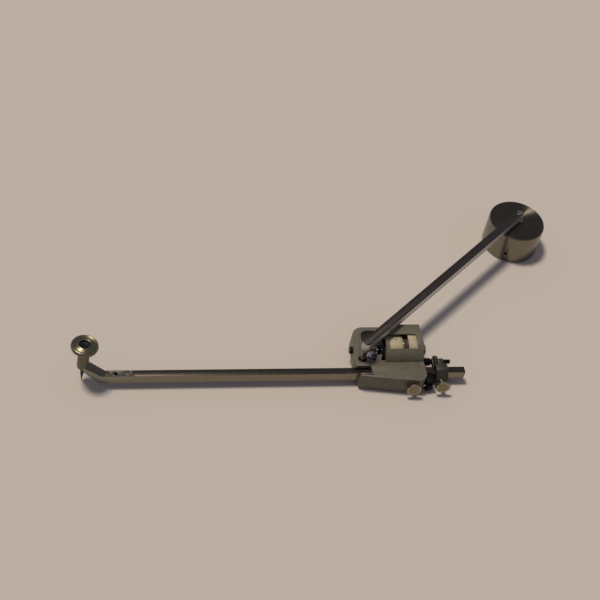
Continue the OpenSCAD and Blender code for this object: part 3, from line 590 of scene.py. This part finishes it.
class PLANIMETER_OT_graduated_drum(PlanimeterOperator):
    """Dresses the drum and the vernier beside it, with their lines and numerals."""

    bl_idname = "planimeter.graduated_drum"
    bl_label = "Graduated drum"

    lines = 100
    long_every = 5

    def execute(self, context):
        dress("graduated_drum", "drum", self.sizes.fine_edge)
        dress("drum_vernier", "vernier_shell", self.sizes.fine_edge)
        self.mark_drum()
        self.mark_vernier()
        return {"FINISHED"}

    def round_axis(self, piece, angle):
        """Turns a piece, modelled on the axis's top, round the wheel's axis."""
        place = Vector((0, WHEEL_AXIS.y, WHEEL_AXIS.z))
        return put(piece, place, Matrix.Rotation(angle, 4, "X"))

    def mark_drum(self):
        low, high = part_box("graduated_drum")
        radius = (high.z - low.z) / 2
        width, height = self.sizes.mark_width, self.sizes.mark_height
        marks = []
        for i in range(self.lines):
            length = (1.9 if i % 10 == 0 else 1.5 if i % self.long_every == 0 else 1.0) * MM
            line = block("line", (high.x - 0.1 * MM - length, -width / 2, radius - height),
                         (high.x - 0.1 * MM, width / 2, radius + height))
            marks.append(self.round_axis(line, math.tau * i / self.lines))
        for i in range(10):
            digit = numeral(str(i), self.sizes.drum_numeral, 2 * height)
            put(digit, (high.x - 3.6 * MM, 0, radius + height / 2))
            marks.append(self.round_axis(digit, math.tau * i / 10))
        finish_piece(joined("drum_lines", marks), "wheel", "scale_ivory", finish="ink")

    def mark_vernier(self):
        low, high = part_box("drum_vernier")
        radius = high.z - WHEEL_AXIS.z
        width, height = self.sizes.mark_width, self.sizes.mark_height
        step = math.tau / self.lines * 0.9
        marks = []
        for i in range(11):
            length = (1.9 if i % 5 == 0 else 1.2) * MM
            line = block("line", (low.x + 0.05 * MM, -width / 2, radius - height),
                         (low.x + length, width / 2, radius + height / 3))
            marks.append(self.round_axis(line, step * i + math.radians(6)))
        for i, text in ((0, "0"), (10, "10")):
            digit = numeral(text, 1.2 * MM, height)
            put(digit, (low.x + 2.9 * MM, 0, radius))
            marks.append(self.round_axis(digit, step * i + math.radians(6)))
        finish_piece(joined("vernier_lines", marks), "carriage", "scale_ivory", finish="ink")


class PLANIMETER_OT_counting_dial(PlanimeterOperator):
    """Dresses the counting gear and its dial, with ten lines and numerals."""

    bl_idname = "planimeter.counting_dial"
    bl_label = "Counting dial"

    def execute(self, context):
        dress("counting_gear", "gear", 0.03 * MM)
        dress("counting_dial", "dial", self.sizes.fine_edge)
        dress("dial_spindle", "spindle", self.sizes.fine_edge)
        low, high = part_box("counting_dial")
        radius, top = (high.x - low.x) / 2, high.z
        thin = self.sizes.mark_height
        marks = []
        for i in range(10):
            turn = Matrix.Rotation(math.tau * i / 10, 4, "Z")
            line = block(
                "line", (-0.03 * MM, radius - 0.55 * MM, -thin / 2),
                (0.03 * MM, radius - 0.12 * MM, thin / 2))
            marks.append(put(line, (DIAL_AXIS.x, DIAL_AXIS.y, top), turn))
            digit = numeral(str(i), 0.8 * MM, thin)
            put(digit, (0, radius - 1.05 * MM, 0))
            marks.append(put(digit, (DIAL_AXIS.x, DIAL_AXIS.y, top), turn))
        finish_piece(joined("dial_lines", marks), "dial", "dial_silver", finish="ink")
        return {"FINISHED"}


class PLANIMETER_OT_support_roller(PlanimeterOperator):
    """Dresses the support roller, its bracket and its axle."""

    bl_idname = "planimeter.support_roller"
    bl_label = "Support roller"

    def execute(self, context):
        for node in ("support_roller", "roller_bracket", "roller_axle"):
            dress(node, node + "_dressed", 0.12 * MM)
        return {"FINISHED"}


class PLANIMETER_OT_thumb_screws(PlanimeterOperator):
    """Turns the two thumb screws with a beaded rim and a knurled edge, and dresses their shoes."""

    bl_idname = "planimeter.thumb_screws"
    bl_label = "Thumb screws"

    ridges = 44

    def execute(self, context):
        for node in ("clamp_shoe", "fine_clamp_shoe"):
            dress(node, node + "_dressed", self.sizes.fine_edge)
        for node in ("clamp_thumb_screw", "fine_thumb_screw"):
            self.thumb_screw(node)
        return {"FINISHED"}

    def thumb_screw(self, node):
        low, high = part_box(node)
        r = (high.x - low.x) / 2
        length = high.y - low.y
        disc, boss, stem = 1.4 * MM, 1.9 * MM, 1.2 * MM
        rim = r - 0.12 * MM
        outline = [
            (0, 0.14 * MM), (r - 1.0 * MM, 0.14 * MM), (r - 0.85 * MM, 0.04 * MM), (r - 0.7 * MM, 0),
            (r - 0.45 * MM, 0), (r - 0.28 * MM, 0.06 * MM), (rim, 0.24 * MM), (rim, disc - 0.24 * MM),
            (r - 0.3 * MM, disc - 0.05 * MM), (r - 0.5 * MM, disc), (boss, disc), (boss, disc + 0.4 * MM),
            (boss - 0.1 * MM, disc + 0.5 * MM), (stem, disc + 0.5 * MM), (stem, length), (0, length)]
        screw = turned(node + "_turned", outline)
        parts = [screw]
        for i in range(self.ridges):
            ridge = block(
                "ridge", (rim - 0.1 * MM, -0.16 * MM, 0.26 * MM),
                (r - 0.01 * MM, 0.16 * MM, disc - 0.26 * MM))
            parts.append(put(ridge, (0, 0, 0), Matrix.Rotation(math.tau * i / self.ridges, 4, "Z")))
        screw = joined(node + "_turned", parts)
        centre = centre_of(node)
        put(screw, (centre.x, low.y, centre.z), Matrix.Rotation(-math.pi / 2, 4, "X"))

        def is_rim(face):
            out = (face.center - Vector((centre.x, face.center.y, centre.z))).length
            in_front = face.normal.y < -0.9 and face.center.y < low.y + 0.3 * MM
            return int(not (in_front and out < r - 0.95 * MM))

        paint_faces(screw, ["thumb_steel", "thumb_rim"], is_rim)
        finish_piece(screw, BODY_OF[node], "thumb_steel", [node])


class PLANIMETER_OT_tracer_bar(PlanimeterOperator):
    """Dresses the tracer bar and its vernier plate, with the scale's lines and numerals."""

    bl_idname = "planimeter.tracer_bar"
    bl_label = "Tracer bar"

    first_numeral = 11
    numeral_count = 22
    scale_start = -113.3 * MM
    numeral_step = 5 * MM

    def execute(self, context):
        # The bar's front and back take the lighter bar_side: painted light.
        self.two_tone("tracer_bar", "bar", 0.22 * MM, "bar_bronze", "bar_side", BAR_LOW.x)
        dress("bar_vernier", "vernier_plate", 0.04 * MM)
        self.scale()
        self.vernier()
        return {"FINISHED"}

    def scale(self):
        width, height = self.sizes.mark_width, self.sizes.mark_height
        top, back = BAR_HIGH.z, BAR_HIGH.y
        start = BALL_PIN.x + self.scale_start
        foot = back - 1.75 * MM
        marks = []
        for i in range(self.numeral_count):
            digits = numeral(str(self.first_numeral + i), self.sizes.numeral, 2 * height)
            marks.append(put(digits, (start + i * self.numeral_step, back - 0.95 * MM, top)))
        for i in range(2 * 5 * (self.numeral_count - 1) + 1):
            length = (1.3 if i % 10 == 0 else 1.0 if i % 5 == 0 else 0.65) * MM
            x = start + i * self.numeral_step / 10
            marks.append(block("line", (x - width / 3, foot - length, top - height),
                               (x + width / 3, foot, top + height)))
        finish_piece(joined("bar_scale", marks), "tracer_bar", "bar_bronze", finish="ink")

    def vernier(self):
        low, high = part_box("bar_vernier")
        width, height = self.sizes.mark_width, self.sizes.mark_height
        back = high.y - 0.85 * MM
        marks = []
        for i in range(11):
            x = low.x + (0.5 + i * 0.45) * MM
            length = (0.7 if i % 5 == 0 else 0.45) * MM
            marks.append(block("line", (x - width / 3, back - length, high.z - height),
                               (x + width / 3, back, high.z + height)))
        finish_piece(joined("plate_lines", marks), "carriage", "vernier_silver", finish="ink")


class PLANIMETER_OT_end_bracket(PlanimeterOperator):
    """Dresses the bracket at the bar's end and its two slotted screws."""

    bl_idname = "planimeter.end_bracket"
    bl_label = "End bracket"

    # Distance past the tracing point where the painted light on the bracket's front and back faces begins.
    neck_end = 3.5 * MM

    def execute(self, context):
        self.two_tone(
            "end_bracket", "bracket", 0.16 * MM, "bracket_grey", "bracket_side",
            TRACING_POINT.x + self.neck_end)
        dress("bracket_screws", "bracket_screws_dressed", self.sizes.fine_edge)
        return {"FINISHED"}


class PLANIMETER_OT_grip(PlanimeterOperator):
    """Dresses the grip ring and the tracing pin below, and turns the button inside the ring."""

    bl_idname = "planimeter.grip"
    bl_label = "Grip ring and tracing pin"

    def execute(self, context):
        dress("grip_ring", "grip", 0.12 * MM, 3, 25)
        dress("tracing_pin", "pin", 0.04 * MM)
        self.button()
        return {"FINISHED"}

    def button(self):
        low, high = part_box("pin_button")
        r = (high.x - low.x) / 2
        stem = 1.8 * MM
        cap = 0.7 * MM
        height = high.z - low.z
        dish = 0.25 * MM
        outline = [
            (0, 0), (stem, 0), (stem, height - cap), (r - 0.1 * MM, height - cap),
            (r, height - cap + 0.1 * MM), (r, height - 0.15 * MM), (r - 0.15 * MM, height),
            (r - 0.5 * MM, height), (r - 1.1 * MM, height - dish * 0.7), (r - 1.9 * MM, height - dish),
            (0, height - dish)]
        button = turned("button", outline, 64)
        put(button, (TRACING_POINT.x, TRACING_POINT.y, low.z))
        finish_piece(button, "pin", "button_black", ["pin_button"])


class PLANIMETER_OT_fine_adjustment(PlanimeterOperator):
    """Dresses the fine adjustment: its block, its screw and its knurled nut."""

    bl_idname = "planimeter.fine_adjustment"
    bl_label = "Fine adjustment"

    def execute(self, context):
        dress("fine_block", "block", 0.18 * MM, 2)
        dress("adjusting_screw", "adjusting_screw_dressed", 0.15 * MM)
        dress("adjusting_nut", "nut", 0.05 * MM)
        return {"FINISHED"}


class PLANIMETER_OT_stage(PlanimeterOperator):
    """Lays the plain floor and sets up the light and the camera."""

    bl_idname = "planimeter.stage"
    bl_label = "Stage"

    floor_size = 60.0
    lamp_from = Vector((-0.31, 0.14, 1.0))
    lamp_strength = 2.35
    lamp_angle = 11.0
    world_strength = 0.31
    camera_place = Vector((-0.3454, -0.6230, 0.6287))
    camera_heading = -19.46
    camera_tilt = 44.11
    camera_roll = 14.22
    camera_lens = 89.82

    def execute(self, context):
        self.floor()
        self.world(context.scene)
        self.lamp()
        self.camera(context.scene)
        return {"FINISHED"}

    def floor(self):
        select_only()
        bpy.ops.mesh.primitive_plane_add(size=self.floor_size, location=(0, 0, 0))
        floor = bpy.context.object
        floor.name = "floor"
        floor.data.materials.append(MATERIALS["floor"])

    def world(self, scene):
        scene.world = bpy.data.worlds.new("soft_room")
        scene.world.use_nodes = True
        tree = scene.world.node_tree
        tree.nodes["Background"].inputs["Color"].default_value = linear("#dadbf2")
        tree.nodes["Background"].inputs["Strength"].default_value = self.world_strength
        room = tree.nodes["Background"].outputs["Background"]
        wall = add_node(tree, "ShaderNodeBackground", {"Color": linear("#bdb3a7"), "Strength": 1.0})
        seen = add_node(tree, "ShaderNodeLightPath", {}).outputs["Is Camera Ray"]
        mixed = add_node(tree, "ShaderNodeMixShader", {0: seen, 1: room, 2: wall.outputs["Background"]})
        tree.links.new(mixed.outputs["Shader"], tree.nodes["World Output"].inputs["Surface"])

    def lamp(self):
        bpy.ops.object.light_add(type="SUN", location=(0, 0, 1))
        lamp = bpy.context.object
        lamp.name = "lamp"
        lamp.data.energy = self.lamp_strength
        lamp.data.angle = math.radians(self.lamp_angle)
        lamp.data.color = linear("#fff8ee")[:3]
        lamp.rotation_euler = self.lamp_from.to_track_quat("Z", "Y").to_euler()

    def camera(self, scene):
        bpy.ops.object.camera_add()
        camera = bpy.context.object
        camera.name = "camera"
        camera.data.lens = self.camera_lens
        camera.data.sensor_width = 36
        camera.data.clip_start, camera.data.clip_end = 0.01, 100
        turn = (Matrix.Rotation(math.radians(self.camera_heading), 4, "Z")
                @ Matrix.Rotation(math.radians(self.camera_tilt), 4, "X")
                @ Matrix.Rotation(math.radians(self.camera_roll), 4, "Z"))
        camera.matrix_world = Matrix.Translation(self.camera_place) @ turn
        scene.camera = camera
        scene.view_settings.view_transform = "Standard"


OPERATORS = (
    PLANIMETER_OT_finishes, PLANIMETER_OT_pole_weight, PLANIMETER_OT_pole_arm, PLANIMETER_OT_carriage,
    PLANIMETER_OT_measuring_wheel, PLANIMETER_OT_graduated_drum, PLANIMETER_OT_counting_dial,
    PLANIMETER_OT_support_roller, PLANIMETER_OT_thumb_screws, PLANIMETER_OT_tracer_bar,
    PLANIMETER_OT_end_bracket, PLANIMETER_OT_grip, PLANIMETER_OT_fine_adjustment, PLANIMETER_OT_stage)


class PLANIMETER_PT_sidebar(bpy.types.Panel):
    bl_label = "Polar planimeter"
    bl_space_type = "VIEW_3D"
    bl_region_type = "UI"
    bl_category = "Planimeter"

    def draw(self, context):
        for group in (context.scene.planimeter_sizes, context.scene.planimeter_colours):
            for name in group.__annotations__:
                self.layout.prop(group, name)
        for operator in OPERATORS:
            self.layout.operator(operator.bl_idname)


CLASSES = (PlanimeterSizes, PlanimeterColours, *OPERATORS, PLANIMETER_PT_sidebar)


def register():
    for item in CLASSES:
        bpy.utils.register_class(item)
    bpy.types.Scene.planimeter_sizes = bpy.props.PointerProperty(type=PlanimeterSizes)
    bpy.types.Scene.planimeter_colours = bpy.props.PointerProperty(type=PlanimeterColours)


def unregister():
    del bpy.types.Scene.planimeter_colours
    del bpy.types.Scene.planimeter_sizes
    for item in reversed(CLASSES):
        bpy.utils.unregister_class(item)


def main():
    register()
    for operator in OPERATORS:
        group, name = operator.bl_idname.split(".")
        getattr(getattr(bpy.ops, group), name)()


if __name__ == "__main__":
    main()
